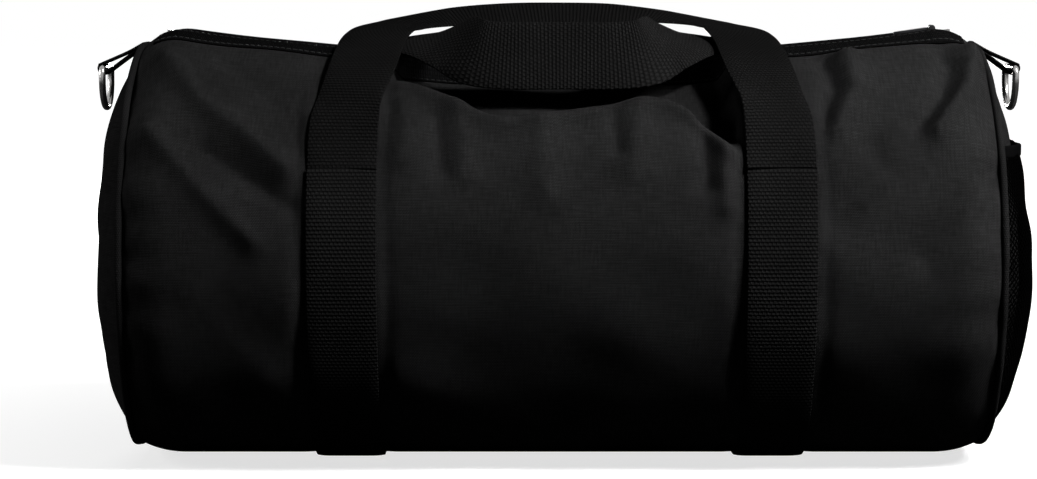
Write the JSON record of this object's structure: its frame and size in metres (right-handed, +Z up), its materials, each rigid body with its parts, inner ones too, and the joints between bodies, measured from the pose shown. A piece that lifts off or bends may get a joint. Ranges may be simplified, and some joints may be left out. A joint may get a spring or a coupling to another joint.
{
  "type": "duffel bag",
  "caption": "Soft barrel-shaped holdall with webbing handles, a zipped mouth along the top, metal rings for a strap and a mesh pocket on one end.",
  "frame": {"origin": "on the floor under the middle of the bag", "axes": "+X along the barrel towards the mesh pocket, +Z up, the front faces -Y"},
  "size_m": [0.5372, 0.2606, 0.2602],
  "materials": {
    "cloth": "matt plain-weave polyester",
    "webbing": "ribbed woven webbing",
    "binding": "matt bound edge",
    "mesh": "knitted net",
    "zip_tape": "matt woven tape",
    "zip_coil": "satin nylon coil",
    "puller": "satin black",
    "plated_metal": "nickel plated"
  },
  "bodies": {
    "bag": {"body_panel": "cloth", "left_end_panel": "cloth", "right_end_panel": "cloth", "left_piping": "binding", "right_piping": "binding", "left_top_patch": "cloth", "right_top_patch": "cloth", "left_zip_end": "zip_tape", "right_zip_end": "zip_tape", "left_zip_stop": "plated_metal", "right_zip_stop": "plated_metal", "left_girth_strap": "webbing", "right_girth_strap": "webbing", "left_ring_tab": "webbing", "right_ring_tab": "webbing", "mesh_pocket": "mesh", "pocket_hem": "binding"},
    "front_flap": {"front_mouth_flap": "cloth", "front_zip_tape": "zip_tape", "front_zip_coil": "zip_coil"},
    "back_flap": {"back_mouth_flap": "cloth", "back_zip_tape": "zip_tape", "back_zip_coil": "zip_coil"},
    "slider": {"zip_slider": "plated_metal"},
    "puller": {"zip_puller": "puller"},
    "front_handle": {"front_handle": "webbing"},
    "back_handle": {"back_handle": "webbing"},
    "left_ring": {"left_d_ring": "plated_metal"},
    "right_ring": {"right_d_ring": "plated_metal"}
  },
  "joints": [
    {"name": "front_flap_open", "type": "hinge", "parent": "bag", "child": "front_flap", "pos_m": [0, 0, 0.12014], "axis": [1, 0, 0], "range_deg": [0, 30]},
    {"name": "back_flap_open", "type": "hinge", "parent": "bag", "child": "back_flap", "pos_m": [0, 0, 0.12014], "axis": [1, 0, 0], "range_deg": [-30, 0]},
    {"name": "zip_run", "type": "hinge", "parent": "bag", "child": "slider", "pos_m": [0, 0, 1.74183], "axis": [0, 1, 0], "range_deg": [0, 16.51]},
    {"name": "puller_flip", "type": "hinge", "parent": "slider", "child": "puller", "pos_m": [0.21717, 0, 0.24522], "axis": [0, 1, 0], "range_deg": [0, 165]},
    {"name": "front_handle_swing", "type": "hinge", "parent": "bag", "child": "front_handle", "pos_m": [0, -0.11812, 0.17186], "axis": [1, 0, 0], "range_deg": [0, 135]},
    {"name": "back_handle_swing", "type": "hinge", "parent": "bag", "child": "back_handle", "pos_m": [0, 0.11812, 0.17186], "axis": [1, 0, 0], "range_deg": [-54, 0]},
    {"name": "left_ring_swing", "type": "hinge", "parent": "bag", "child": "left_ring", "pos_m": [-0.264, 0, 0.22221], "axis": [0, 1, 0], "range_deg": [-5, 140]},
    {"name": "right_ring_swing", "type": "hinge", "parent": "bag", "child": "right_ring", "pos_m": [0.264, 0, 0.22221], "axis": [0, 1, 0], "range_deg": [-140, 5]}
  ],
  "couplings": [
    {"joint": "back_handle_swing", "follows": "front_handle_swing", "ratio": -0.4}
  ]
}
